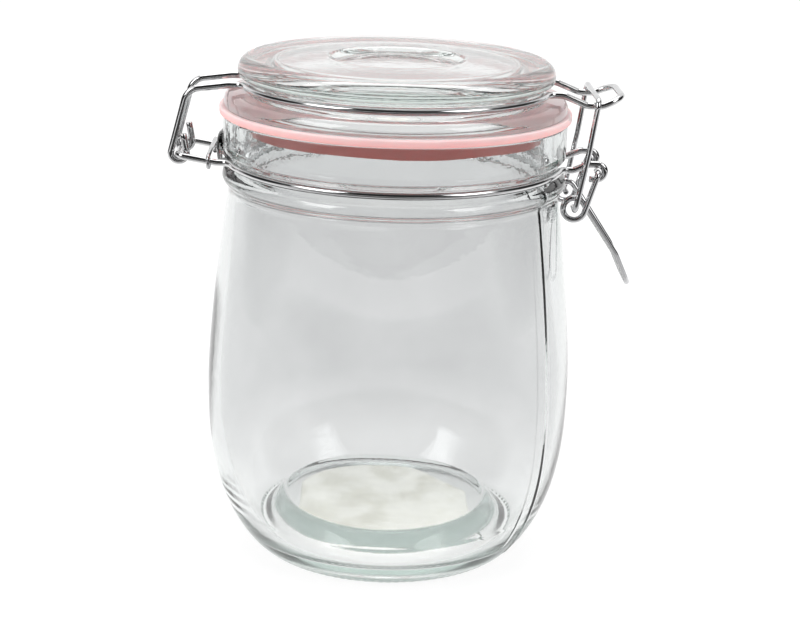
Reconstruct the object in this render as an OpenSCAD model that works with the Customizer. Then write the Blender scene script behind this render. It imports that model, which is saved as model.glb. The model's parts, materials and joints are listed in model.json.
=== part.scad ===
// Clip-top storage jar: pressed-glass jar and lid, rubber ring and a sprung wire closure.
// The jar stands on z = 0 about the Z axis. The hinge is on the -X side and the latch on the +X side.
// All sizes are in millimetres.

/* [Jar] */
// Radius of the belly, where the jar is widest
belly_r = 52.5; // [42:0.5:63]
// Height of the widest part of the belly above the foot
belly_z = 50; // [40:1:60]
// Outer radius of the ring the jar stands on
foot_r = 38; // [30:0.5:42]
// Height of the glass rim that the rubber ring sits on
rim_z = 126.4; // [116:0.2:152]
// Thickness of the side wall
wall_t = 3.4; // [2.6:0.1:4.2]
// Thickness of the glass in the middle of the base
base_t = 8; // [6.6:0.2:9.6]
// Thickness of the glass over the ring the jar stands on
foot_t = 6.4; // [5.2:0.1:7.8]
// Depth of the hollow under the base
punt_d = 4.6; // [3.8:0.1:5.6]

/* [Neck] */
// Outer radius of the smooth band under the rim
finish_r = 48.3; // [40.2:0.1:58]
// Height of that band, from the rim down to the wire groove
finish_h = 10.6; // [9:0.1:12.8]
// Radius of the mouth
bore_r = 42.6; // [34:0.1:44.6]
// Extra radius of the bead under the wire groove, beyond the band above it
bead_proud = 0.3; // [0:0.05:0.6]

/* [Lid] */
// Radius of the rounded top rim of the lid
lid_r = 44.4; // [36:0.1:46.4]
// Height of the lid above the rubber ring
lid_h = 13.7; // [11.6:0.1:16.4]
// Height of the flange that presses on the rubber ring
flange_h = 2; // [1.6:0.1:2.4]
// Height of the lid's wire groove above the rubber ring
lid_groove_h = 5.1; // [4.3:0.1:6.1]
// Radius of the round recess in the top of the lid
recess_r = 18.8; // [15:0.1:22.6]
// Depth of that recess
recess_d = 1.8; // [1.4:0.1:2.2]
// Thickness of the web between the recess and the hollow under the lid
web_t = 3.6; // [2.8:0.1:4.2]
// Width of the ring under the lid that locates it in the mouth
plug_w = 4.4; // [3.6:0.1:5.4]
// Depth of that ring below the flange
plug_h = 4.1; // [3.4:0.1:4.9]

/* [Rubber ring] */
// Thickness of the rubber ring
gasket_t = 2.2; // [1.8:0.1:2.8]
// Width of the rubber ring
gasket_w = 8.7; // [7.2:0.1:9.6]
// How far the ring's lip hangs into the mouth
lip_h = 4.9; // [4.1:0.1:5.8]

/* [Wires] */
// Diameter of the two wire bands, round the lid and round the neck
band_d = 1.9; // [1.6:0.1:2.2]
// Diameter of the lever wire
lever_d = 1.7; // [1.4:0.1:2]
// Diameter of the bail wire
bail_d = 1.6; // [1.3:0.1:1.9]
// Diameter of the clip wire that ties the neck band's arms together
clip_d = 1.2; // [1:0.1:1.4]

/* [Hinge] */
// Distance of the hinge pin from the surface of the neck
hinge_reach = 11.8; // [10:0.2:14]
// Half the distance between the lid band's two hooks
hook_half = 8.5; // [7.2:0.1:9.2]
// Length of the straight end of each hook beyond the pin
hook_end = 5.2; // [4:0.2:6]

/* [Latch] */
// Distance of the lever's pivot from the surface of the neck
pivot_reach = 8.2; // [7.8:0.1:9.8]
// Half the distance between the two pivot loops
loop_half = 9.6; // [8.2:0.1:11]
// Height of the bail, from its pins to its cross bar
bail_h = 31.1; // [30:0.1:34]
// Half the width of the nose loop that the bail pulls on
nose_half = 11; // [9.6:0.1:12]

/* [Hidden] */
$fn = 96;

// Clearances
seat_gap = 0.05;        // between a glass groove and its wire, and under the rubber ring
plug_gap = 2.2;         // between the lid's locating ring and the mouth, where the rubber lip hangs
lip_gap = 0.3;          // between the rubber lip and the mouth
ring_gap = 0.3;         // between the rubber ring and the locating ring inside it
pin_gap = 0.3;          // between a wire pin and the wire hook or eye round it
side_gap = 0.3;         // between wires that pass each other on a pivot
bail_gap = 0.3;         // between the bail's cross bar and the nose loop it pulls on
handle_gap = 0.6;       // between the handle's tip and the cross bar that swings round it
clip_gap = 0.12;        // between the clip and the arms inside it
glass_gap = 0.5;        // least distance between the lever's eye and the shoulder of the jar

// Glass
bead_r = finish_r + bead_proud;
bead_round = 2.2;                                   // section radius of the bead
groove_z = rim_z - finish_h - band_d - 0.4;         // height of the neck band
groove_r = finish_r - 0.15 - band_d;                // floor of the neck groove
bead_z = groove_z - band_d / 2 - bead_round - 1.4;  // height of the bead
waist_z = bead_z - bead_round - 2.6;                // where the neck meets the shoulder
waist_r = finish_r - 1.3;
rim_round = 0.8;                                    // outer rounding of the glass rim
mouth_round = 1.2;                                  // inner rounding of the glass rim
floor_z = punt_d + base_t;                          // inner floor
foot_w = 1.8;                                       // width of the ring the jar stands on
seat_z = rim_z + seat_gap + gasket_t;               // underside of the lid's flange
top_z = seat_z + lid_h;
lid_groove_z = seat_z + lid_groove_h + band_d / 2;  // height of the lid band
lid_groove_r = lid_r - 2.4;                         // floor of the lid groove
lid_round_end = -20;                                // where the rounding of the lid's rim ends, in degrees
lid_round = (lid_h - lid_groove_h - band_d - 1.5) / (1 - sin(lid_round_end));
gasket_r = bore_r + ring_gap - plug_gap + gasket_w;  // outside of the rubber ring
flange_r = gasket_r - 1.2;
plug_r = bore_r - plug_gap;

// Wires
neck_band_r = groove_r + seat_gap + band_d / 2;
lid_band_r = lid_groove_r + seat_gap + band_d / 2;
turn_out = 3;                                       // bend radius where a band turns outward
hook_r = band_d + pin_gap;                          // hook round the hinge pin, to the wire's centre
hinge_x = -(finish_r + hinge_reach);
hinge_z = groove_z + 1.8;
arm_half = hook_half + band_d + 1.1;                // half the distance between the neck band's arms
arm_run = 1.4;                                      // level stretch of those arms before they rise
arm_corner = [hinge_x + 2.4, lid_groove_z - 1.5];   // where a lid arm turns down, as [x, z]
loop_r = (lever_d + band_d) / 2 + pin_gap;          // loop round the lever's pin
eye_r = (lever_d + bail_d) / 2 + 1.35;              // lever eye, to the wire's centre
lever_half = loop_half + (band_d + lever_d) / 2 + side_gap + 0.7;
pivot_z = groove_z - 0.3;
eye_off = [-6.2, -10.3];                            // from the pivot to the centre of the lever's eye
eye_side_x = sqrt(pow(shoulder_r(pivot_z + eye_off[1] - eye_r), 2) - pow(lever_half, 2));
pivot_x = max(finish_r + pivot_reach, eye_side_x + glass_gap + lever_d / 2 + eye_r - eye_off[0]);
pivot = [pivot_x, pivot_z];                         // lever pivot, as [x, z]
eye = pivot + eye_off;                              // centre of the lever's eye, as [x, z]
coil_step = lever_d + 0.12;                         // sideways step of the lever's eye
bail_half = lever_half + (lever_d + bail_d) / 2 + side_gap + 0.2;
bar = eye + [4.9, bail_h];                          // the bail's cross bar, as [x, z]
nose_z = bar[1] - bail_gap - (bail_d + band_d) / 2; // height of the nose loop under the cross bar
handle_len = norm(bar - eye) - (bail_d + lever_d) / 2 - handle_gap;
handle_dir = [cos(-55.7), sin(-55.7)];              // direction of the handle from the eye, as [x, z]
handle_bend = 19;                                   // length of the handle up to its bend
label_r = 27;
label_t = 0.15;

function unit(v) = v / norm(v);
function turn(a, b) = acos(max(-1, min(1, a * b)));
function at(p, y) = [p[0], y, p[1]];
function arc(c, r, from, to, n = 8) =
    [for (i = [0 : n]) let (a = from + (to - from) * i / n) c + r * [cos(a), sin(a)]];

// Full, flat-bottomed curve of the heel: 0 at the floor and 1 at the belly
function heel(t) = pow(1 - pow(1 - t, 2.9), 1 / 1.2);
// Slow taper of the shoulder: 0 at the belly and 1 at the waist
function shoulder(t) = pow(t, 1.45);
function shoulder_r(z) = belly_r + (waist_r - belly_r) * shoulder((z - belly_z) / (waist_z - belly_z));
// Smooth step down, used for the hollow under the base and for the domed floor over it
function dish(low_r, high_r, high_z, low_z, n = 12) =
    [for (i = [0 : n]) let (t = i / n)
        [low_r + (high_r - low_r) * t, high_z + (low_z - high_z) * t * t * (3 - 2 * t)]];

function heel_curve(low_r, high_r, low_z, high_z, n = 26) =
    [for (i = [0 : n]) let (t = pow(i / n, 2))
        [low_r + (high_r - low_r) * heel(t), low_z + (high_z - low_z) * t]];
function shoulder_curve(low_r, high_r, low_z, high_z, n = 14) =
    [for (i = [1 : n]) let (t = i / n)
        [low_r + (high_r - low_r) * shoulder(t), low_z + (high_z - low_z) * t]];
function backwards(p) = [for (i = [len(p) - 1 : -1 : 0]) p[i]];

module jar_section() {
    polygon(concat(
        [[0, punt_d]],
        dish(foot_r - foot_w - 7, foot_r - foot_w, punt_d, 0),
        heel_curve(foot_r, belly_r, 0, belly_z),
        shoulder_curve(belly_r, waist_r, belly_z, waist_z),
        [[waist_r - 0.2, waist_z + 1]],
        arc([bead_r - bead_round, bead_z], bead_round, -70, 62),
        [[groove_r, groove_z - band_d / 2 - 0.5], [groove_r, groove_z + band_d / 2 + 0.1]],
        [[finish_r - 0.5, rim_z - finish_h], [finish_r, rim_z - finish_h + 0.6]],
        arc([finish_r - rim_round, rim_z - rim_round], rim_round, 0, 90),
        arc([bore_r + mouth_round, rim_z - mouth_round], mouth_round, 90, 180),
        [[bore_r, groove_z]],
        backwards(shoulder_curve(belly_r - wall_t, waist_r - wall_t, belly_z, waist_z)),
        backwards(heel_curve(foot_r + 0.4, belly_r - wall_t, foot_t, belly_z)),
        backwards(dish(foot_r - 9, foot_r - 0.5, floor_z, foot_t)),
        [[0, floor_z]]));
}

// Rounded glass lug between the hinge arms, which stops the neck band from turning
module hinge_lug() {
    lug_round = 7;
    lug_z = groove_z + 2.1;
    intersection() {
        rotate([0, 0, 168])
            rotate_extrude(angle = 24)
                translate([finish_r + 1.9 - lug_round, lug_z])
                    circle(r = lug_round);
        translate([0, 0, lug_z])
            rotate([0, -90, 0])
                cylinder(h = 2 * finish_r, r = 0.74 * hook_half);
    }
}

module jar_body() {
    color([0.8, 0.86, 0.84, 0.5]) {
        rotate_extrude()
            jar_section();
        difference() {
            hinge_lug();
            cylinder(h = top_z, r = bore_r + 1);
        }
    }
}

// Blank paper label stuck under the base
module base_label() {
    color([0.92, 0.91, 0.86])
        translate([0, 0, punt_d - label_t])
            linear_extrude(label_t)
                intersection() {
                    circle(r = min(label_r, foot_r - foot_w - 8));
                    square([1.86 * label_r, 2 * label_r], center = true);
                    rotate(38)
                        translate([-0.1 * label_r, 0])
                            square([1.9 * label_r, 2 * label_r], center = true);
                }
}

module lid() {
    hollow_r = plug_r - plug_w;
    color([0.82, 0.87, 0.85, 0.5])
        rotate_extrude()
            polygon(concat(
                [[0, top_z - recess_d], [recess_r - 1.2, top_z - recess_d]],
                [[recess_r, top_z - 0.4], [recess_r + 1, top_z - 0.1]],
                arc([lid_r - lid_round, top_z - lid_round], lid_round, 90, lid_round_end),
                [[lid_groove_r, lid_groove_z + band_d / 2 + 0.3]],
                [[lid_groove_r, lid_groove_z - band_d / 2 - 0.4]],
                arc([flange_r - 3, seat_z + flange_h - 0.8], 3, 62, 0),
                [[flange_r, seat_z + 0.3], [flange_r - 0.3, seat_z], [plug_r, seat_z]],
                arc([plug_r - 1.9, seat_z - plug_h + 1], 1, 0, -90, 4),
                arc([hollow_r + 1, seat_z - plug_h + 1], 1, -90, -172, 4),
                arc([hollow_r - 4.6, top_z - recess_d - web_t - 3], 3, 8, 90),
                [[0, top_z - recess_d - web_t]]));
}

// Flat ring with a tapered lip that hangs into the mouth
module gasket() {
    inner_r = gasket_r - gasket_w;
    lip_end_r = bore_r - lip_gap - lip_h / 3;
    lip_t = 0.9;
    color([0.93, 0.68, 0.68])
        translate([0, 0, rim_z + seat_gap])
            rotate_extrude()
                polygon([[inner_r, gasket_t - 0.3], [inner_r, -0.9],
                    [lip_end_r - lip_t, 0.2 - lip_h], [lip_end_r, -lip_h],
                    [bore_r - lip_gap, -1.3], [bore_r + 0.15, -0.25], [bore_r + mouth_round, 0],
                    [gasket_r - 0.35, 0], [gasket_r, 0.35],
                    [gasket_r, gasket_t - 0.35], [gasket_r - 0.35, gasket_t], [inner_r + 0.3, gasket_t]]);
}

// Places a child made along +Z at point o, along direction w, with its X axis nearest to u
module aim(o, u, w) {
    z = unit(w);
    x = unit(u - (u * z) * z);
    y = cross(z, x);
    multmatrix([[x[0], y[0], z[0], o[0]], [x[1], y[1], z[1], o[1]], [x[2], y[2], z[2], o[2]],
        [0, 0, 0, 1]])
        children();
}

// Hair-thin collar that closes the joint between two stretches of wire
module collar(d) {
    translate([0, 0, -0.06])
        cylinder(h = 0.12, d = d + 0.02, $fn = 32);
}

// Round wire along points p, with bend radius r[i] at each inner point.
// joined says whether each end carries on into another stretch, so gets a collar too.
module bent_wire(p, r, d, joined = [false, false]) {
    last = len(p) - 1;
    dir = [for (i = [0 : last - 1]) unit(p[i + 1] - p[i])];
    trim = [for (i = [0 : last])
        i == 0 || i == last ? 0 : r[i] * tan(turn(dir[i - 1], dir[i]) / 2)];
    for (i = [0 : last - 1]) {
        start = p[i] + dir[i] * trim[i];
        run = norm(p[i + 1] - p[i]) - trim[i] - trim[i + 1];
        side = i == 0 ? cross(dir[0], dir[1]) : cross(dir[i - 1], dir[i]);
        aim(start, side, dir[i]) {
            cylinder(h = run, d = d, $fn = 32);
            if (i > 0 || joined[0])
                collar(d);
            translate([0, 0, run])
                if (i < last - 1 || joined[1])
                    collar(d);
        }
    }
    for (i = [1 : last - 1]) {
        axis = unit(cross(dir[i - 1], dir[i]));
        inward = cross(axis, dir[i - 1]);
        aim(p[i] - dir[i - 1] * trim[i] + inward * r[i], -inward, axis)
            rotate_extrude(angle = turn(dir[i - 1], dir[i]))
                translate([r[i], 0])
                    circle(d = d, $fn = 32);
    }
}

// Wire arc in the plane of its child frame, with collars at both ends
module wire_arc(r, from, to, d) {
    rotate([0, 0, from])
        rotate_extrude(angle = to - from)
            translate([r, 0])
                circle(d = d, $fn = 32);
}

module both_sides() {
    children();
    mirror([0, 1, 0])
        children();
}

// Distance of a turn-out's bend centre along X, for a band of radius r and an arm at half spacing half
function turn_x(r, half) = sqrt(pow(r + turn_out, 2) - pow(half + turn_out, 2));
function turn_angle(r, half) = atan2(half + turn_out, turn_x(r, half));

// The near half of a wire band with its two turn-outs, toward the hinge and toward the latch
module half_band(r, z, back_half, front_half) {
    back_a = turn_angle(r, back_half);
    front_a = turn_angle(r, front_half);
    translate([0, 0, z]) {
        wire_arc(r, 180 + back_a, 360 - front_a, band_d);
        translate([-turn_x(r, back_half), -back_half - turn_out, 0])
            wire_arc(turn_out, back_a, 90, band_d);
        translate([turn_x(r, front_half), -front_half - turn_out, 0])
            wire_arc(turn_out, 90, 180 - front_a, band_d);
        for (a = [180 + back_a, 360 - front_a])
            rotate([0, 0, a])
                translate([r, 0, 0])
                    rotate([90, 0, 0])
                        collar(band_d);
    }
}

module lid_wire() {
    back_x = -turn_x(lid_band_r, hook_half);
    nose_x = turn_x(lid_band_r, nose_half);
    pin = [hinge_x, hinge_z];
    reach = arm_corner - pin;
    touch_a = atan2(reach[1], reach[0]) + acos(hook_r / norm(reach));
    leave_a = 370;
    touch = pin + hook_r * [cos(touch_a), sin(touch_a)];
    leave = pin + hook_r * [cos(leave_a), sin(leave_a)];
    tip = leave + hook_end * [-sin(leave_a), cos(leave_a)];
    tip_x = bar[0] + 7.1;
    color([0.78, 0.79, 0.8])
        both_sides() {
            half_band(lid_band_r, lid_groove_z, hook_half, nose_half);
            bent_wire([[back_x, -hook_half, lid_groove_z], [back_x - 2, -hook_half, lid_groove_z],
                at(arm_corner, -hook_half), at(touch, -hook_half)], [0, 6, 4.5, 0], band_d, [true, true]);
            translate([hinge_x, -hook_half, hinge_z])
                rotate([90, 0, 0])
                    wire_arc(hook_r, touch_a, leave_a, band_d);
            aim(at(leave, -hook_half), [0, 1, 0], at(tip - leave, 0)) {
                cylinder(h = hook_end, d = band_d, $fn = 32);
                collar(band_d);
            }
            bent_wire([[nose_x, -nose_half, lid_groove_z], [nose_x + 2, -nose_half, lid_groove_z],
                [bar[0] - 2.6, -nose_half, nose_z], [bar[0] + 1.6, -nose_half, nose_z],
                [tip_x, -nose_half, nose_z + 2.4], [tip_x, 0, nose_z + 2.4]],
                [0, 5, 4, 3.5, 5, 0], band_d, [true, true]);
        }
}

module neck_wire() {
    back_x = -turn_x(neck_band_r, arm_half);
    loop_x = turn_x(neck_band_r, loop_half);
    top = pivot[1] + loop_r;
    color([0.76, 0.77, 0.78])
        both_sides() {
            half_band(neck_band_r, groove_z, arm_half, loop_half);
            bent_wire([[back_x, -arm_half, groove_z], [back_x - arm_run, -arm_half, groove_z],
                [hinge_x, -arm_half, hinge_z], [hinge_x, 0, hinge_z]], [0, 4, 2, 0], band_d, [true, true]);
            bent_wire([[loop_x, -loop_half, groove_z], [loop_x + 1.2, -loop_half, groove_z],
                [pivot[0] - 2.6, -loop_half, top], [pivot[0], -loop_half, top]],
                [0, 3, 3, 0], band_d, [true, true]);
            translate([pivot[0], -loop_half, pivot[1]])
                rotate([90, 0, 0])
                    wire_arc(loop_r, -90, 90, band_d);
            aim([pivot[0], -loop_half, pivot[1] - loop_r], [0, 1, 0], [-1, 0, 0]) {
                cylinder(h = 2.2, d = band_d, $fn = 32);
                collar(band_d);
            }
        }
}

// Clip bent round the two hinge arms close to the neck
module neck_wire_clip() {
    x = hinge_x + 8.5;
    arm_x = -turn_x(neck_band_r, arm_half) - arm_run;
    arm_z = groove_z + (hinge_z - groove_z) * max(0, (arm_x - x) / (arm_x - hinge_x));
    off = (band_d + clip_d) / 2 + clip_gap;
    side = arm_half + off;
    color([0.7, 0.71, 0.72])
        both_sides()
            bent_wire([[x, -side + 2.9, arm_z - off], [x, -side, arm_z - off], [x, -side, arm_z + off],
                [x, 0, arm_z + off]], [0, 1.5, 1.5, 0], clip_d, [false, true]);
}

module latch_lever() {
    to_pivot = pivot - eye;
    enter_a = atan2(to_pivot[1], to_pivot[0]) - acos(eye_r / norm(to_pivot));
    exit_a = atan2(handle_dir[1], handle_dir[0]) + 90 - 360;
    steps = 10;
    step_a = (exit_a - enter_a) / steps;
    coil = [for (k = [0 : steps - 1])
        let (a = enter_a + (k + 0.5) * step_a, p = eye + eye_r / cos(step_a / 2) * [cos(a), sin(a)])
        at(p, -lever_half + coil_step * (k + 0.5) / steps)];
    exit = eye + eye_r * [cos(exit_a), sin(exit_a)];
    knee = exit + handle_bend * handle_dir;
    tip = knee + (handle_len - handle_bend) * [cos(-65), sin(-65)];
    color([0.78, 0.79, 0.8])
        both_sides()
            bent_wire(concat(
                [at(pivot, -loop_half + 2), at(pivot, -lever_half)], coil,
                [at(knee, -7), at(tip, -4.2), at(tip, 0)]),
                concat([0, 1.5], [for (k = [1 : steps]) 0.9 * eye_r], [6, 3.2, 0]),
                lever_d, [false, true]);
}

module latch_bail() {
    kink = eye + [3, 0.54 * bail_h];
    color([0.8, 0.81, 0.82])
        both_sides()
            bent_wire([at(eye, -loop_half + 0.6), at(eye, -bail_half), at(kink, -bail_half),
                at(bar, -bail_half), at(bar, 0)], [0, 1.8, 5, 2.2, 0], bail_d, [false, true]);
}

jar_body();
base_label();
lid();
gasket();
lid_wire();
neck_wire();
neck_wire_clip();
latch_lever();
latch_bail();
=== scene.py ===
"""Looks of a clip-top storage jar: clear pressed glass, a pink rubber ring and bright wires.

Shapes are worked out in millimetres and turned into metres when a mesh is made.
"""
import json
import math

import bpy
import numpy as np
from mathutils import Matrix, Vector, noise


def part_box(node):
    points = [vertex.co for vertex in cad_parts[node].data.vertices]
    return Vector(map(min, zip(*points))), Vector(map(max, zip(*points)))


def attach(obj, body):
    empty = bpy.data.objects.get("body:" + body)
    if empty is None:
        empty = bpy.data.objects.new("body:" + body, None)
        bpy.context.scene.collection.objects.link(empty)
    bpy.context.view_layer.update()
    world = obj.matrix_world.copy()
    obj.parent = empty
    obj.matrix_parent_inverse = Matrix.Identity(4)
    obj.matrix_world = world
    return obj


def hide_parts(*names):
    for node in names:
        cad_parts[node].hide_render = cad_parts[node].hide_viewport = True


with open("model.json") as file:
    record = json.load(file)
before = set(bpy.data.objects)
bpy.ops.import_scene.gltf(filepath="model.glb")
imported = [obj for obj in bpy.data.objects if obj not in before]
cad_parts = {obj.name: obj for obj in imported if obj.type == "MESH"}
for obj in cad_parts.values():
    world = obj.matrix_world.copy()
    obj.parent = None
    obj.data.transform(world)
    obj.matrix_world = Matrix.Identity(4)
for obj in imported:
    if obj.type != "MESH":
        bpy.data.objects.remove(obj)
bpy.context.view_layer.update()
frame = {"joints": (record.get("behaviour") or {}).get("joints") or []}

MM = 0.001
joint_at = {j["name"]: np.array(j["pos_m"]) / MM for j in frame["joints"]}


def box_mm(node):
    """Lowest and highest corner of a CAD node's box, in millimetres."""
    low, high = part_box(node)
    return np.array(low) / MM, np.array(high) / MM


jar_high = box_mm("jar_body")[1]
ring_low, ring_high = box_mm("gasket")
lid_low, lid_high = box_mm("lid")
label_high = box_mm("base_label")[1]

# Jar
belly_r = jar_high[1]               # widest radius
belly_z = 50                        # height of the widest part
foot_r = 38                         # outside of the ring the jar stands on
foot_w = 1.8                        # width of that ring
rim_z = jar_high[2]                 # glass rim under the rubber ring
wall_t = 3.4
foot_t = 6.4                        # glass over the ring the jar stands on
base_t = 8                          # glass in the middle of the base
punt_d = label_high[2]              # hollow under the base
floor_z = punt_d + base_t           # inner floor, in the middle
finish_r = 48.3                     # smooth band under the rim
finish_h = 10.6
bore_r = 42.6                       # mouth
rim_round, mouth_round = 0.8, 1.2   # outer and inner edge of the rim
bead_r = finish_r + 0.3             # bead under the wire groove
bead_round = 2.2                    # radius of its section
seam_angle = math.radians(-33)      # one mould seam; the other is opposite
seam_high, seam_low = 0.35, 0.07    # how far each of them stands out
seam_w = 0.45                       # distance from its middle over which it falls away
knurls, knurl_d = 108, 0.22         # small marks round the foot
lug_r, lug_out, lug_deep = 6.3, 1.9, 5.4    # rounded lug under the rim, at the back
skin = 0.9                          # largest gap between the rings of the glass meshes

# Rubber ring and label
ring_w = 8.7
lip_gap, lip_lean = 0.3, 1.63       # from the mouth to the top of the lip, and from there to its tip
lip_t = 0.9
lip_lift = 0.9                      # how far the uneven tip may rise
press = 0.02                        # ring into the lid's glass, so that it shows through the flange
label_r = 27
label_low, label_top = 0.11, 0.06   # under the glass of the base

# Wires
band_d, lever_d, bail_d, clip_d = 1.9, 1.7, 1.6, 1.2
seat_gap, pin_gap, side_gap = 0.05, 0.3, 0.3
bail_gap, clip_gap = 0.3, 0.12      # cross bar to nose loop, and clip to the arms inside it
turn_out = 3                        # bend radius where a band turns outward
groove_z = rim_z - finish_h - band_d - 0.4          # height of the neck band
groove_r = finish_r - 0.15 - band_d                 # floor of its groove
neck_band_r = groove_r + seat_gap + band_d / 2
bead_z = groove_z - band_d / 2 - bead_round - 1.4   # height of the bead
waist_z = bead_z - bead_round - 2.6                 # where the neck meets the shoulder
waist_r = finish_r - 1.3

# Lid
seat_z = ring_high[2]               # underside of the flange
top_z = lid_high[2]
flange_r = lid_high[1]
flange_h = 2
lid_r = 44.4                        # rounded top rim
lid_groove_h = 5.1                  # from the rubber ring up to the wire groove
lid_groove_z = seat_z + lid_groove_h + band_d / 2   # height of the lid band
lid_groove_r = lid_r - 2.4
lid_band_r = lid_groove_r + seat_gap + band_d / 2
lid_round = 3.87
recess_r, recess_d = 18.8, 1.8      # round recess in the top
web_t = 3.6                         # glass under that recess
plug_gap = 2.2                      # between the mouth and the ring that locates the lid in it
plug_r, plug_w = bore_r - plug_gap, 4.4
plug_z = lid_low[2]

# Hinge and latch. A point is (x, z), and half means half a width across them, along y.
hinge = joint_at["lid_hinge"][[0, 2]]
pivot = joint_at["lever_pivot"][[0, 2]]
eye = joint_at["bail_pivot"][[0, 2]]
hook_half, hook_end = 8.5, 5.2      # the lid band's hooks, and their straight ends
hook_r = band_d + pin_gap
arm_half = hook_half + band_d + 1.1
arm_run = 1.4                       # level stretch of the neck band's arms before they rise
arm_corner = np.array([hinge[0] + 2.4, lid_groove_z - 1.5])     # where a lid arm turns down
loop_half = 9.6                     # the neck band's loops round the lever's pivot
loop_r = (lever_d + band_d) / 2 + pin_gap
lever_half = loop_half + (band_d + lever_d) / 2 + side_gap + 0.7
eye_r = (lever_d + bail_d) / 2 + 1.35   # lever's eye, to the wire's centre
coil_step = lever_d + 0.12          # sideways step of that eye
bail_half = lever_half + (lever_d + bail_d) / 2 + side_gap + 0.2
bail_h = 31.1                       # from the bail's pins to its cross bar
bar = eye + [4.9, bail_h]
nose_z = bar[1] - bail_gap - (bail_d + band_d) / 2
nose_half = 11
handle_gap = 0.6                    # between the handle's tip and the bar that swings past it
handle_len = np.hypot(*(bar - eye)) - (bail_d + lever_d) / 2 - handle_gap
handle_angle, handle_tip_angle = math.radians(-55.7), math.radians(-65)
handle_bend = 19                    # length of the handle up to its bend


# ---------- outlines and paths ----------

def unit(v):
    return v / np.linalg.norm(v)


def spin(angle):
    return np.array([math.cos(angle), math.sin(angle)])


def arc(centre, radius, start, end, step=6):
    """Points of a flat arc, with angles in degrees, one at least every step degrees."""
    count = max(2, math.ceil(abs(end - start) / step) + 1)
    angles = np.linspace(start, end, count)
    return [np.array(centre, float) + radius * spin(math.radians(a)) for a in angles]


def rounded(points, radii, step=6):
    """The points of a path, in 2-D or 3-D, with each inner corner rounded to its radius."""
    points = [np.array(p, float) for p in points]
    path = [points[0]]
    for before, corner, after, radius in zip(points, points[1:], points[2:], radii):
        into, away = unit(corner - before), unit(after - corner)
        turn = math.acos(np.clip(into @ away, -1, 1))
        if radius <= 0 or turn < 1e-3:
            path.append(corner)
            continue
        trim = radius * math.tan(turn / 2)
        inward = unit(away - (away @ into) * into)
        centre = corner - into * trim + inward * radius
        count = max(2, math.ceil(math.degrees(turn) / step) + 1)
        for a in np.linspace(0, turn, count):
            path.append(centre + radius * (into * math.sin(a) - inward * math.cos(a)))
    return path + [points[-1]]


def spaced(points, gap):
    """The same path with extra points, so that no two neighbours are further apart than gap."""
    path = [np.array(points[0], float)]
    for p in points[1:]:
        count = max(1, math.ceil(np.linalg.norm(p - path[-1]) / gap))
        start = path[-1]
        path += [start + (p - start) * i / count for i in range(1, count + 1)]
    return path


# ---------- meshes ----------

def show(name, data):
    """A new object in the scene."""
    shown = bpy.data.objects.new(name, data)
    bpy.context.scene.collection.objects.link(shown)
    return shown


def new_square(name, half, material):
    """A flat square facing up, centred on its own origin."""
    corners = [(-half, -half, 0), (half, -half, 0), (half, half, 0), (-half, half, 0)]
    mesh = bpy.data.meshes.new(name)
    mesh.from_pydata(corners, [], [(0, 1, 2, 3)])
    mesh.materials.append(material)
    return show(name, mesh)


def new_piece(name, vertices, faces, body, material, nodes):
    """A smooth mesh piece from vertices in millimetres, riding on a body in place of its CAD nodes."""
    mesh = bpy.data.meshes.new(name)
    mesh.from_pydata((np.array(vertices) * MM).tolist(), [], faces)
    mesh.polygons.foreach_set("use_smooth", [True] * len(mesh.polygons))
    mesh.update()
    mesh.materials.append(material)
    piece = show(name, mesh)
    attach(piece, body)
    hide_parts(*nodes)


def lathe(outline, turns, shape=None):
    """Vertices and faces of a solid of revolution. The outline starts and ends on the axis.
    shape(radius, angle, height) may move the points of each ring."""
    outline = np.array(outline)
    angles = np.linspace(0, 2 * math.pi, turns, endpoint=False)
    radius = np.repeat(outline[1:-1, 0][:, None], turns, 1)
    height = np.repeat(outline[1:-1, 1][:, None], turns, 1)
    angle = np.repeat(angles[None, :], len(outline) - 2, 0)
    if shape:
        radius, height = shape(radius, angle, height)
    ring = np.stack([radius * np.cos(angle), radius * np.sin(angle), height], 2).reshape(-1, 3)
    vertices = np.vstack([[0, 0, outline[0, 1]], ring, [0, 0, outline[-1, 1]]])
    rows = len(outline) - 2
    column = np.arange(turns)
    after = (column + 1) % turns
    faces = [(0, 1 + b, 1 + a) for a, b in zip(column, after)]
    for row in range(rows - 1):
        low, high = 1 + row * turns, 1 + (row + 1) * turns
        faces += list(zip((low + column).tolist(), (low + after).tolist(),
                          (high + after).tolist(), (high + column).tolist()))
    last, top = 1 + (rows - 1) * turns, len(vertices) - 1
    faces += [(top, last + a, last + b) for a, b in zip(column, after)]
    return vertices, [tuple(int(i) for i in f) for f in faces]


def ring_lathe(outline, turns, shape):
    """Vertices and faces of a ring whose closed outline stays clear of the axis.
    shape(outline, angle) gives the outline at each angle."""
    outline = np.array(outline)
    angles = np.linspace(0, 2 * math.pi, turns, endpoint=False)
    count = len(outline)
    vertices = [(r * math.cos(a), r * math.sin(a), z) for a in angles for r, z in shape(outline, a)]
    faces = []
    for i in range(turns):
        here, there = i * count, (i + 1) % turns * count
        for j in range(count):
            k = (j + 1) % count
            faces.append((here + j, there + j, there + k, here + k))
    return vertices, faces


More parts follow.
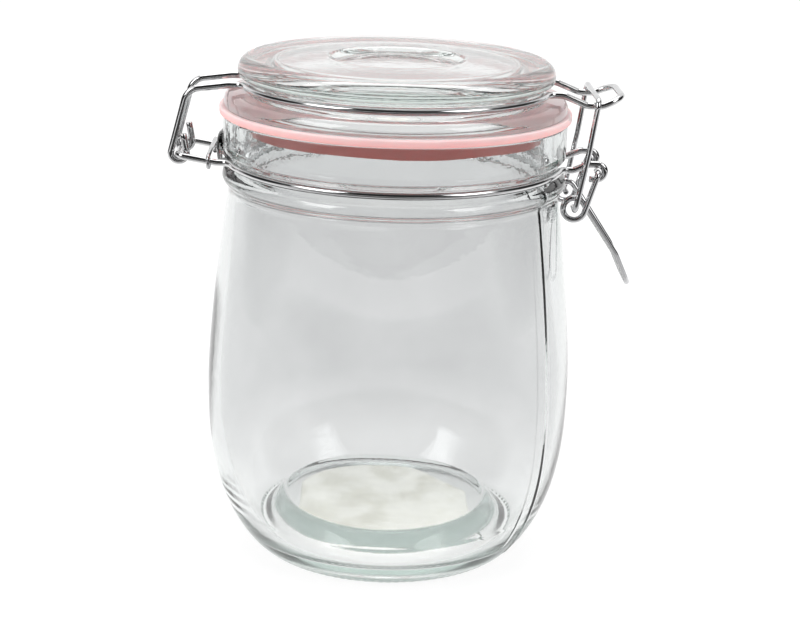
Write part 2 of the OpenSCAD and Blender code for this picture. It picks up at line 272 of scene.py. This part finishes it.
def tube(path, diameter, sides=20):
    """Vertices and faces of a round wire along a path, with softly rounded ends."""
    path = np.array(path)
    ahead = np.gradient(path, axis=0)
    ahead /= np.linalg.norm(ahead, axis=1)[:, None]
    across = unit(np.cross(ahead[0], [0.3, 0.5, 0.8]))
    rings = []
    for point, direction in zip(path, ahead):
        across = unit(across - (across @ direction) * direction)
        rings.append((point, across, np.cross(direction, across)))
    edge = 0.12 * diameter
    start, end = rings[0], rings[-1]
    ends = [(edge * (1 - math.cos(a)), diameter / 2 - edge * (1 - math.sin(a)))
            for a in np.radians([0, 30, 60])]
    loops = [(start[0] + ahead[0] * back, start[1], start[2], r) for back, r in ends]
    loops += [(*ring, diameter / 2) for ring in rings[1:-1]]
    loops += [(end[0] - ahead[-1] * back, end[1], end[2], r) for back, r in reversed(ends)]
    turn = np.linspace(0, 2 * math.pi, sides, endpoint=False)
    vertices = [p + r * (math.cos(t) * u + math.sin(t) * v) for p, u, v, r in loops for t in turn]
    faces = []
    for i in range(len(loops) - 1):
        for j in range(sides):
            k = (j + 1) % sides
            faces.append((i * sides + j, i * sides + k, (i + 1) * sides + k, (i + 1) * sides + j))
    faces.append(tuple(reversed(range(sides))))
    faces.append(tuple(range((len(loops) - 1) * sides, len(loops) * sides)))
    return vertices, faces


# ---------- materials ----------

def new_material(name):
    material = bpy.data.materials.new(name)
    material.use_nodes = True
    return material, material.node_tree, material.node_tree.nodes["Principled BSDF"]


def add(tree, kind, **inputs):
    node = tree.nodes.new(kind)
    for key, value in inputs.items():
        node.inputs[key.replace("_", " ")].default_value = value
    return node


def noise_of(tree, scale, detail=4, stretch=(1, 1, 1)):
    """A noise pattern fixed to the piece, in cycles per metre."""
    place = tree.nodes.new("ShaderNodeTexCoord")
    mapping = tree.nodes.new("ShaderNodeMapping")
    mapping.inputs["Scale"].default_value = stretch
    pattern = add(tree, "ShaderNodeTexNoise", Scale=scale, Detail=detail)
    tree.links.new(place.outputs["Object"], mapping.inputs["Vector"])
    tree.links.new(mapping.outputs["Vector"], pattern.inputs["Vector"])
    return pattern.outputs["Fac"]


def height_of(tree):
    """Height above the floor at rest, in metres."""
    place = tree.nodes.new("ShaderNodeTexCoord")
    split = tree.nodes.new("ShaderNodeSeparateXYZ")
    tree.links.new(place.outputs["Object"], split.inputs["Vector"])
    return split.outputs["Z"]


def ramp(tree, value, low, high, low_at=0.0, high_at=1.0):
    """Turns a value into a colour or grey between low and high."""
    node = tree.nodes.new("ShaderNodeValToRGB")
    ends = node.color_ramp.elements
    for end, at, colour in ((ends[0], low_at, low), (ends[1], high_at, high)):
        end.position = at
        end.color = (*colour, 1) if isinstance(colour, tuple) else (colour, colour, colour, 1)
    tree.links.new(value, node.inputs["Fac"])
    return node.outputs["Color"]


def bump(tree, shader, value, height_mm):
    node = add(tree, "ShaderNodeBump", Strength=1.0, Distance=height_mm * MM)
    tree.links.new(value, node.inputs["Height"])
    tree.links.new(node.outputs["Normal"], shader.inputs["Normal"])


def above(tree, height, over, low=0.0, high=1.0):
    """Goes from low to high between a height and over metres more."""
    return ramp(tree, height_of(tree), low, high, height, height + over)


def blend(tree, share, low, high):
    """The colour low where share is 0, giving way to the colour of the socket high where it is 1."""
    node = tree.nodes.new("ShaderNodeMix")
    node.data_type = "RGBA"
    node.inputs["A"].default_value = (*low, 1)
    tree.links.new(share, node.inputs["Factor"])
    tree.links.new(high, node.inputs["B"])
    return node.outputs["Result"]


def combine(tree, operation, first, second):
    node = tree.nodes.new("ShaderNodeMath")
    node.operation = operation
    tree.links.new(first, node.inputs[0])
    tree.links.new(second, node.inputs[1])
    return node.outputs["Value"]


def glass(name, low_colour_and_shade, high_colour_and_shade, absorb, density, rough_from, peel_mm):
    """Pressed glass whose grey tint is partly painted shade, lifted to nearly clear over the base as
    painted light, dull where it stands, with an orange-peel skin above the height rough_from in metres."""
    material, tree, shader = new_material(name)
    shader.inputs["Transmission Weight"].default_value = 1
    shader.inputs["IOR"].default_value = 1.52
    # The grey of this tint is partly painted shade. Over the base it gives way to a nearly clear colour,
    # painted light that brightens what is seen through the base.
    colour_and_painted_light = ramp(tree, noise_of(tree, 40), low_colour_and_shade, high_colour_and_shade, 0.35, 0.65)
    colour_and_painted_light = blend(tree, above(tree, 0.014, 0.021), (0.985, 0.985, 0.985), colour_and_painted_light)
    tree.links.new(colour_and_painted_light, shader.inputs["Base Color"])
    smears = ramp(tree, noise_of(tree, 55, 6), 0.0, 0.02, 0.5, 0.8)
    worn_foot = above(tree, 0.0048, 0.0017, 0.16, 0.0)
    tree.links.new(combine(tree, "MAXIMUM", smears, worn_foot), shader.inputs["Roughness"])
    skin_share = above(tree, rough_from, 0.008, 0.12, 1.0)
    bump(tree, shader, combine(tree, "MULTIPLY", noise_of(tree, 360, 2), skin_share), peel_mm)
    volume = add(tree, "ShaderNodeVolumeAbsorption", Density=density)
    volume.inputs["Color"].default_value = (*absorb, 1)
    tree.links.new(volume.outputs["Volume"], tree.nodes["Material Output"].inputs["Volume"])
    return material


def bright_wire(name, colour, roughness):
    """Drawn wire, bright with dull patches."""
    material, tree, shader = new_material(name)
    shader.inputs["Metallic"].default_value = 1
    dull = tuple(0.86 * c for c in colour)
    tree.links.new(ramp(tree, noise_of(tree, 260, 5), dull, colour, 0.3, 0.6), shader.inputs["Base Color"])
    worn = ramp(tree, noise_of(tree, 700, 6), roughness, roughness + 0.14, 0.45, 0.8)
    tree.links.new(worn, shader.inputs["Roughness"])
    bump(tree, shader, noise_of(tree, 1500, 3), 0.004)
    return material


def rubber(name, lip_top):
    """Pink rubber, a deeper red on the lip below the height lip_top in metres, where the red is painted
    shade for the lip in shadow inside the mouth.
    """
    material, tree, shader = new_material(name)
    ring_pink = ramp(tree, noise_of(tree, 120, 6), (0.92, 0.66, 0.67), (0.97, 0.73, 0.73), 0.35, 0.65)
    # The deeper red on the lip is painted shade, for the lip in shadow inside the mouth.
    tone = blend(tree, above(tree, lip_top, 0.0006), (1.0, 0.30, 0.27), ring_pink)
    tree.links.new(tone, shader.inputs["Base Color"])
    tree.links.new(ramp(tree, noise_of(tree, 500, 4), 0.42, 0.6), shader.inputs["Roughness"])
    shader.inputs["Subsurface Weight"].default_value = 0.5
    shader.inputs["Subsurface Radius"].default_value = (1.0, 0.45, 0.4)
    shader.inputs["Subsurface Scale"].default_value = 0.003
    bump(tree, shader, noise_of(tree, 2500, 4), 0.02)
    return material


def paper(name):
    """Thin paper, which lets light through from behind. Its glow stands in for light that is
    lost on the way through the thick base."""
    material, tree, shader = new_material(name)
    mottle = ramp(tree, noise_of(tree, 130, 10), (0.82, 0.81, 0.75), (0.99, 0.985, 0.96), 0.38, 0.58)
    tree.links.new(mottle, shader.inputs["Base Color"])
    shader.inputs["Roughness"].default_value = 0.8
    shader.inputs["Emission Color"].default_value = (1, 0.98, 0.94, 1)
    shader.inputs["Emission Strength"].default_value = 0.72
    through = tree.nodes.new("ShaderNodeBsdfTranslucent")
    tree.links.new(mottle, through.inputs["Color"])
    both = add(tree, "ShaderNodeMixShader", Fac=0.55)
    tree.links.new(shader.outputs["BSDF"], both.inputs[1])
    tree.links.new(through.outputs["BSDF"], both.inputs[2])
    tree.links.new(both.outputs["Shader"], tree.nodes["Material Output"].inputs["Surface"])
    bump(tree, shader, noise_of(tree, 900, 8), 0.05)
    return material


jar_glass = glass("jar_glass", (0.76, 0.76, 0.765), (0.80, 0.80, 0.805),
                  (0.64, 0.75, 0.71), density=20, rough_from=0.102, peel_mm=0.05)
lid_glass = glass("lid_glass", (0.95, 0.95, 0.95), (0.97, 0.97, 0.97),
                  (0.60, 0.70, 0.66), density=10, rough_from=0.02, peel_mm=0.012)
wire_finish = bright_wire("bright_wire", (0.66, 0.66, 0.665), 0.05)
latch_finish = bright_wire("latch_wire", (0.64, 0.64, 0.65), 0.04)
clip_finish = bright_wire("clip_wire", (0.58, 0.58, 0.59), 0.14)
ring_rubber = rubber("ring_rubber", (rim_z - 0.2) * MM)
label_paper = paper("label_paper")


# ---------- glass ----------

def heel(t):
    """How far the wall has swung out, from 0 at the foot to 1 at the belly, at a share t of the height."""
    return (1 - (1 - t) ** 2.9) ** (1 / 1.2)


def heel_curve(low_r, high_r, low_z, count=60):
    """The side of the jar from its foot up to the belly."""
    return [np.array([low_r + (high_r - low_r) * heel(t), low_z + (belly_z - low_z) * t])
            for t in np.linspace(0, 1, count) ** 2]


def dish(low_r, high_r, high_z, low_z, count=24):
    """A smooth step down, for the hollow under the base and the raised floor over it."""
    return [np.array([low_r + (high_r - low_r) * t, high_z + (low_z - high_z) * t * t * (3 - 2 * t)])
            for t in np.linspace(0, 1, count)]


def shoulder_curve(high_r, low_r, count=40):
    """The side of the jar from the belly up to the waist, without its first point."""
    return [np.array([high_r + (low_r - high_r) * t ** 1.45, belly_z + (waist_z - belly_z) * t])
            for t in np.linspace(0, 1, count)[1:]]


def jar_outline():
    """Half section of the jar, from the middle of its hollow base, up its outside and down its inside."""
    under = [(0, punt_d)] + dish(foot_r - foot_w - 7, foot_r - foot_w, punt_d, 0) + [(foot_r, 0)]
    wall = heel_curve(foot_r, belly_r, 0) + shoulder_curve(belly_r, waist_r)
    groove_low, groove_high = groove_z - band_d / 2 - 0.5, groove_z + band_d / 2 + 0.1
    neck = ([(waist_r - 0.2, waist_z + 1)]
            + arc((bead_r - bead_round, bead_z), bead_round, -70, 62)
            + rounded([(groove_r + 0.6, groove_low - 0.5), (groove_r, groove_low), (groove_r, groove_high),
                       (finish_r - 0.5, rim_z - finish_h), (finish_r, rim_z - finish_h + 0.6),
                       (finish_r, rim_z - 3)], (0.4, 0.4, 0.3, 0.8)))
    rim = (arc((finish_r - rim_round, rim_z - rim_round), rim_round, 0, 90)
           + arc((bore_r + mouth_round, rim_z - mouth_round), mouth_round, 90, 180))
    mouth = rounded([(bore_r, rim_z - 2), (bore_r, groove_z), (waist_r - wall_t, waist_z),
                     (waist_r - 1, waist_z - 16)], (6, 6))
    inside = (mouth[:-1]
              + shoulder_curve(belly_r - wall_t, waist_r - wall_t)[-3::-1]
              + heel_curve(foot_r + 0.4, belly_r - wall_t, foot_t)[::-1]
              + dish(foot_r - 9, foot_r - 0.5, floor_z, foot_t)[::-1])
    return [np.array(p, float) for p in under + wall[1:] + neck + rim + inside] + [np.array([0, floor_z])]


jar_points = spaced(jar_outline(), skin)
outer_count = max(i for i, p in enumerate(jar_points) if p[1] >= rim_z - 0.01)


def shape_jar(radius, angle, height):
    """Adds the mould seams, the knurled foot, the hinge lug and the slight waves of pressed glass."""
    rows = np.arange(1, 1 + len(radius))[:, None] * np.ones_like(angle)
    outside = rows <= outer_count
    seam = np.zeros_like(radius)
    for centre, size in ((seam_angle, seam_high), (seam_angle + math.pi, seam_low)):
        away = (angle - centre + math.pi) % (2 * math.pi) - math.pi
        seam += size * np.exp(-(away * radius / seam_w) ** 2)
    body = outside & (height > 3) & (height < waist_z + 8)
    radius = radius + np.where(body, seam, 0)
    foot = outside & (height < 1.2) & (radius > foot_r - foot_w - 0.4)
    radius = radius - np.where(foot, knurl_d * np.maximum(0, np.cos(knurls * angle)), 0)
    waves = 0.10 * np.sin(3 * angle + 0.05 * height) + 0.06 * np.sin(7 * angle - 0.09 * height + 1.3)
    inner = ~outside & (height < waist_z) & (height > floor_z + 2)
    radius = radius + np.where(inner, waves, 0)
    across = radius * np.sin(angle)
    from_lug = np.hypot(across, height - (groove_z + 2.1)) / lug_r
    on_back = outside & (np.cos(angle) < 0) & (height > bead_z)
    lug = finish_r + lug_out - lug_deep * (1 - np.sqrt(np.clip(1 - from_lug ** 4, 0, 1)))
    radius = np.where(on_back & (from_lug < 1), np.maximum(radius, lug), radius)
    return radius, height


def lid_outline():
    """Half section of the lid, from the middle of its top, round its rim, flange and locating ring."""
    hollow_r, hollow_z = plug_r - plug_w, top_z - recess_d - web_t
    top = rounded([(0, top_z - recess_d), (recess_r - 1.2, top_z - recess_d), (recess_r, top_z - 0.4),
                   (recess_r + 0.7, top_z), (lid_r - lid_round, top_z)], (0.5, 0.25, 0.3))
    rim = arc((lid_r - lid_round, top_z - lid_round), lid_round, 90, -20)
    groove = rounded([rim[-1], (lid_groove_r, lid_groove_z + band_d / 2 + 0.3),
                      (lid_groove_r, lid_groove_z - band_d / 2 - 0.4),
                      (flange_r - 1.6, seat_z + flange_h + 1.8)], (0.5, 0.5))
    flange = arc((flange_r - 3, seat_z + flange_h - 0.8), 3, 58, 0)
    under = rounded([flange[-1], (flange_r, seat_z), (plug_r, seat_z), (plug_r, plug_z),
                     (hollow_r, plug_z), (hollow_r - 1.3, hollow_z - 3), (hollow_r - 1.6, hollow_z),
                     (hollow_r - 4.6, hollow_z), (0, hollow_z)], (0.3, 0.4, 1, 1, 3, 1.4, 1))
    return top[:-1] + rim + groove[1:-1] + flange + under[1:]


def make_glass():
    vertices, faces = lathe(jar_points, 540, shape_jar)
    new_piece("jar_glass", vertices, faces, "jar", jar_glass, ["jar_body"])
    vertices, faces = lathe(spaced(lid_outline(), skin)[::-1], 360)
    new_piece("lid_glass", vertices, faces, "lid", lid_glass, ["lid"])


# ---------- rubber ring and label ----------

def uneven_lip(outline, angle):
    """Lifts the lip a little by an amount that varies round the ring."""
    share = np.clip((rim_z - 1 - outline[:, 1]) / (rim_z - 1 - ring_low[2]), 0, 1)
    spot = Vector((1.6 * math.cos(angle), 1.6 * math.sin(angle), 0))
    lift = lip_lift * (0.5 + 0.5 * noise.noise(spot))
    return outline + np.stack([0 * share, lift * share], 1)


def make_ring():
    """A flat ring with a tapered lip that hangs into the mouth."""
    inner, outer = ring_high[1] - ring_w, ring_high[1]
    low, high = rim_z + seat_gap, seat_z + press
    lip_r = bore_r - lip_gap
    tip_r = lip_r - lip_lean
    corners = [(bore_r + 3, low), (outer, low), (outer, high), (inner, high), (inner, low - 0.9),
               (tip_r - lip_t, ring_low[2] + 0.2), (tip_r, ring_low[2]), (lip_r, low - 1.3),
               (bore_r + 0.15, low - 0.25), (bore_r + 1.2, low), (bore_r + 3, low)]
    outline = spaced(rounded(corners, (0.6, 0.6, 0.3, 0.5, 0.2, 0.3, 0.5, 0.2, 0.3), 15)[:-1], 0.6)
    vertices, faces = ring_lathe(outline, 240, uneven_lip)
    new_piece("rubber_ring", vertices, faces, "lid", ring_rubber, ["gasket"])


def cut_label(radius, angle, height):
    """Trims a disc to the label's uneven outline and makes it slightly wavy."""
    corner = np.maximum(np.cos(angle - math.radians(38)), 1e-3)
    edge = np.minimum(0.93 * label_r / np.maximum(np.abs(np.cos(angle)), 1e-3), 0.85 * label_r / corner)
    radius = radius * np.minimum(1, edge / label_r)
    x, y = radius * np.cos(angle), radius * np.sin(angle)
    return radius, height - 0.03 + 0.03 * np.sin(0.31 * x + 1) * np.cos(0.27 * y)


def make_label():
    """A thin, slightly wavy sheet of paper just under the glass of the base."""
    low, high = label_high[2] - label_low, label_high[2] - label_top
    span = np.linspace(0, label_r, 40)
    outline = [(r, low) for r in span] + [(r, high) for r in span[::-1]]
    vertices, faces = lathe(outline, 180, cut_label)
    new_piece("paper_label", vertices, faces, "jar", label_paper, ["base_label"])


# ---------- wires ----------

def at(p, y):
    return np.array([p[0], y, p[1]])


def flat_arc(centre, radius, start, end, z, step=3):
    """An arc in a level plane."""
    return [np.array([p[0], p[1], z]) for p in arc(centre, radius, start, end, step)]


def upright_arc(centre, radius, start, end, y, step=8):
    """An arc in a plane across the hinge axis."""
    return [at(p, y) for p in arc(centre, radius, start, end, step)]


def turn_x(radius, half):
    """How far from the axis a band's turn-out, at half across, becomes straight."""
    return math.sqrt((radius + turn_out) ** 2 - (half + turn_out) ** 2)


def half_band(radius, z, back_half, front_half):
    """The near half of a band, from its turn-out at the hinge to its turn-out at the latch."""
    back_x, front_x = turn_x(radius, back_half), turn_x(radius, front_half)
    back_a = math.degrees(math.atan2(back_half + turn_out, back_x))
    front_a = math.degrees(math.atan2(front_half + turn_out, front_x))
    return (flat_arc((-back_x, -back_half - turn_out), turn_out, 90, back_a, z, 8)
            + flat_arc((0, 0), radius, 180 + back_a, 360 - front_a, z)[1:-1]
            + flat_arc((front_x, -front_half - turn_out), turn_out, 180 - front_a, 90, z, 8))


def both_halves(near):
    """The whole wire from its near half, which ends on the plane of symmetry."""
    far = [p * [1, -1, 1] for p in near[-2::-1]]
    return near + far


def make_wire(name, near, diameter, body, material, node):
    """A wire from its near half, in place of one CAD node."""
    path = [near[0]]
    for p in near[1:]:
        if np.linalg.norm(p - path[-1]) > 0.02:
            path.append(p)
    vertices, faces = tube(both_halves(spaced(path, 2.5)), diameter)
    new_piece(name, vertices, faces, body, material, [node])


def lid_wire_path():
    """Hook round the hinge pin, arm, half of the lid's band and half of the nose loop."""
    reach = arm_corner - hinge
    touch_a = math.degrees(math.atan2(reach[1], reach[0]) + math.acos(hook_r / np.hypot(*reach)))
    leave_a = 370
    touch = hinge + hook_r * spin(math.radians(touch_a))
    leave = hinge + hook_r * spin(math.radians(leave_a))
    tip = leave + hook_end * spin(math.radians(leave_a + 90))
    back_x, nose_x, tip_x = turn_x(lid_band_r, hook_half), turn_x(lid_band_r, nose_half), bar[0] + 7.1
    hook = [at(tip, -hook_half)] + upright_arc(hinge, hook_r, leave_a, touch_a, -hook_half)
    arm = rounded([at(touch, -hook_half), at(arm_corner, -hook_half),
                   at((-back_x - 2, lid_groove_z), -hook_half),
                   at((-back_x, lid_groove_z), -hook_half)], (4.5, 6))
    nose = rounded([at((nose_x, lid_groove_z), -nose_half), at((nose_x + 2, lid_groove_z), -nose_half),
                    at((bar[0] - 2.6, nose_z), -nose_half), at((bar[0] + 1.6, nose_z), -nose_half),
                    at((tip_x, nose_z + 2.4), -nose_half), at((tip_x, nose_z + 2.4), 0)], (5, 4, 3.5, 5))
    return hook + arm + half_band(lid_band_r, lid_groove_z, hook_half, nose_half) + nose


def neck_wire_path():
    """Loop round the lever's pivot, half of the neck's band, arm and half of the hinge pin."""
    back_x, loop_x = turn_x(neck_band_r, arm_half), turn_x(neck_band_r, loop_half)
    top = pivot[1] + loop_r
    loop = ([at((pivot[0] - 2.2, pivot[1] - loop_r), -loop_half)]
            + upright_arc(pivot, loop_r, -90, 90, -loop_half)
            + rounded([at((pivot[0], top), -loop_half), at((pivot[0] - 2.6, top), -loop_half),
                       at((loop_x + 1.2, groove_z), -loop_half),
                       at((loop_x, groove_z), -loop_half)], (3, 3)))
    band = half_band(neck_band_r, groove_z, arm_half, loop_half)[::-1]
    arm = rounded([at((-back_x, groove_z), -arm_half), at((-back_x - arm_run, groove_z), -arm_half),
                   at(hinge, -arm_half), at(hinge, 0)], (4, 2))
    return loop + band + arm


def clip_path():
    """Half of the thin clip that wraps the neck band's arms."""
    x, arm_x = hinge[0] + 8.5, -turn_x(neck_band_r, arm_half) - arm_run
    z = groove_z + (hinge[1] - groove_z) * max(0, (arm_x - x) / (arm_x - hinge[0]))
    off = (band_d + clip_d) / 2 + clip_gap
    side = arm_half + off
    corners = [(x, -side + 2.9, z - off), (x, -side, z - off), (x, -side, z + off), (x, 0, z + off)]
    return rounded(corners, (1.5, 1.5), 10)


def lever_path():
    """Leg at the pivot, one coil round the bail's eye and half of the handle."""
    to_pivot = pivot - eye
    enter = math.atan2(to_pivot[1], to_pivot[0]) - math.acos(eye_r / np.hypot(*to_pivot))
    leave = handle_angle + math.pi / 2 - 2 * math.pi
    turn = np.linspace(enter, leave, 60)
    share = np.linspace(0, 1, 60)
    coil = [at(eye + eye_r * spin(a), -lever_half + coil_step * s) for a, s in zip(turn, share)]
    away = eye + eye_r * spin(leave)
    knee = away + handle_bend * spin(handle_angle)
    tip = knee + (handle_len - handle_bend) * spin(handle_tip_angle)
    leg = rounded([at(pivot, -loop_half + 2), at(pivot, -lever_half), coil[0]], (1.5,))
    handle = rounded([coil[-1], at(knee, -7), at(tip, -4.2), at(tip, 0)], (6, 3.2))
    return leg + coil[1:] + handle[1:]


def bail_path():
    """Half of the bail, from its end in the coil up to the cross bar."""
    kink = eye + [3, 0.54 * bail_h]
    return rounded([at(eye, -loop_half + 0.6), at(eye, -bail_half), at(kink, -bail_half),
                    at(bar, -bail_half), at(bar, 0)], (1.8, 5, 2.2))


def make_wires():
    make_wire("lid_band", lid_wire_path(), band_d, "lid", wire_finish, "lid_wire")
    make_wire("neck_band", neck_wire_path(), band_d, "jar", wire_finish, "neck_wire")
    make_wire("hinge_clip", clip_path(), clip_d, "jar", clip_finish, "neck_wire_clip")
    make_wire("lever", lever_path(), lever_d, "lever", latch_finish, "latch_lever")
    make_wire("bail", bail_path(), bail_d, "bail", latch_finish, "latch_bail")


# ---------- studio ----------

def make_camera():
    """The photo's view of the closed jar."""
    camera = show("camera", bpy.data.cameras.new("camera"))
    camera.data.sensor_width, camera.data.lens = 36, 80.9
    heading, pitch, roll = math.radians(1.49), math.radians(16.79), math.radians(1.78)
    turn = Matrix.Rotation(-heading, 4, "Z") @ Matrix.Rotation(math.pi / 2 - pitch, 4, "X")
    place = Matrix.Translation((-0.0101, -0.4999, 0.2196))
    camera.matrix_world = place @ turn @ Matrix.Rotation(roll, 4, "Z")
    bpy.context.scene.camera = camera


def make_floor():
    """A pale floor that glows like a light table, for the photo's white background."""
    material, tree, shader = new_material("pale_floor")
    tree.links.new(ramp(tree, noise_of(tree, 3), 0.20, 0.21), shader.inputs["Base Color"])
    shader.inputs["Roughness"].default_value = 0.9
    shader.inputs["Specular IOR Level"].default_value = 0.1
    shader.inputs["Emission Color"].default_value = (1, 1, 1, 1)
    shader.inputs["Emission Strength"].default_value = 0.86
    new_square("floor", 6, material)


def add_card(name, place, target, width, height):
    """A soft-edged black card seen only in reflections and through the glass, for dark lines in both."""
    material, tree, shader = new_material(name)
    shader.inputs["Base Color"].default_value = (0.01, 0.01, 0.01, 1)
    shader.inputs["Roughness"].default_value = 1
    position = tree.nodes.new("ShaderNodeTexCoord")
    blob = tree.nodes.new("ShaderNodeTexGradient")
    blob.gradient_type = "SPHERICAL"
    tree.links.new(position.outputs["Object"], blob.inputs["Vector"])
    tree.links.new(ramp(tree, blob.outputs["Fac"], 0.0, 1.0, 0.02, 0.45), shader.inputs["Alpha"])
    card = new_square(name, 1, material)
    turn = (Vector(target) - Vector(place)).to_track_quat("-Z", "Y")
    card.matrix_world = Matrix.LocRotScale(Vector(place), turn, Vector((width / 2, height / 2, 1)))
    card.visible_camera = card.visible_diffuse = card.visible_shadow = False
    return card


def make_cards():
    front = add_card("front_card", (0, -0.62, 0.003), (0, -0.62, 1), 2.2, 1.3)
    front.visible_transmission = False
    add_card("left_card", (-0.40, 0.02, 0.22), (0, 0, 0.12), 0.6, 0.5)
    add_card("right_card", (0.40, 0.02, 0.22), (0, 0, 0.12), 0.6, 0.5)


def add_softbox(name, place, target, width, height, power):
    light = bpy.data.lights.new(name, "AREA")
    light.shape = "RECTANGLE"
    light.size, light.size_y, light.energy = width, height, power
    box = show(name, light)
    box.location = place
    box.rotation_euler = (Vector(target) - Vector(place)).to_track_quat("-Z", "Y").to_euler()


def make_light():
    add_softbox("left_box", (-1.3, -0.8, 1.05), (0, 0, 0.07), 1.0, 1.1, 16)
    add_softbox("right_box", (1.3, -0.8, 1.05), (0, 0, 0.07), 1.0, 1.1, 13)
    add_softbox("top_box", (0, 0.3, 1.7), (0, 0, 0), 1.6, 1.2, 12)
    make_sky()


def make_sky():
    """White behind the jar and dark in front of it."""
    world = bpy.data.worlds.new("studio")
    bpy.context.scene.world = world
    world.use_nodes = True
    tree = world.node_tree
    place = tree.nodes.new("ShaderNodeTexCoord")
    split = tree.nodes.new("ShaderNodeSeparateXYZ")
    tree.links.new(place.outputs["Generated"], split.inputs["Vector"])
    shade = tree.nodes.new("ShaderNodeMapRange")
    shade.inputs["From Min"].default_value = -0.45
    shade.inputs["From Max"].default_value = 0.35
    shade.inputs["To Min"].default_value = 0.03
    shade.inputs["To Max"].default_value = 1.0
    tree.links.new(split.outputs["Y"], shade.inputs["Value"])
    tree.links.new(shade.outputs["Result"], tree.nodes["Background"].inputs["Color"])
    tree.nodes["Background"].inputs["Strength"].default_value = 1.0


def set_look():
    scene = bpy.context.scene
    scene.view_settings.view_transform = "Standard"
    scene.cycles.max_bounces = 24
    scene.cycles.transmission_bounces = 24
    scene.cycles.transparent_max_bounces = 16
    scene.cycles.glossy_bounces = 8
    scene.cycles.diffuse_bounces = 4
    scene.cycles.use_denoising = True


make_camera()
make_glass()
make_ring()
make_wires()
make_label()
make_floor()
make_cards()
make_light()
set_look()
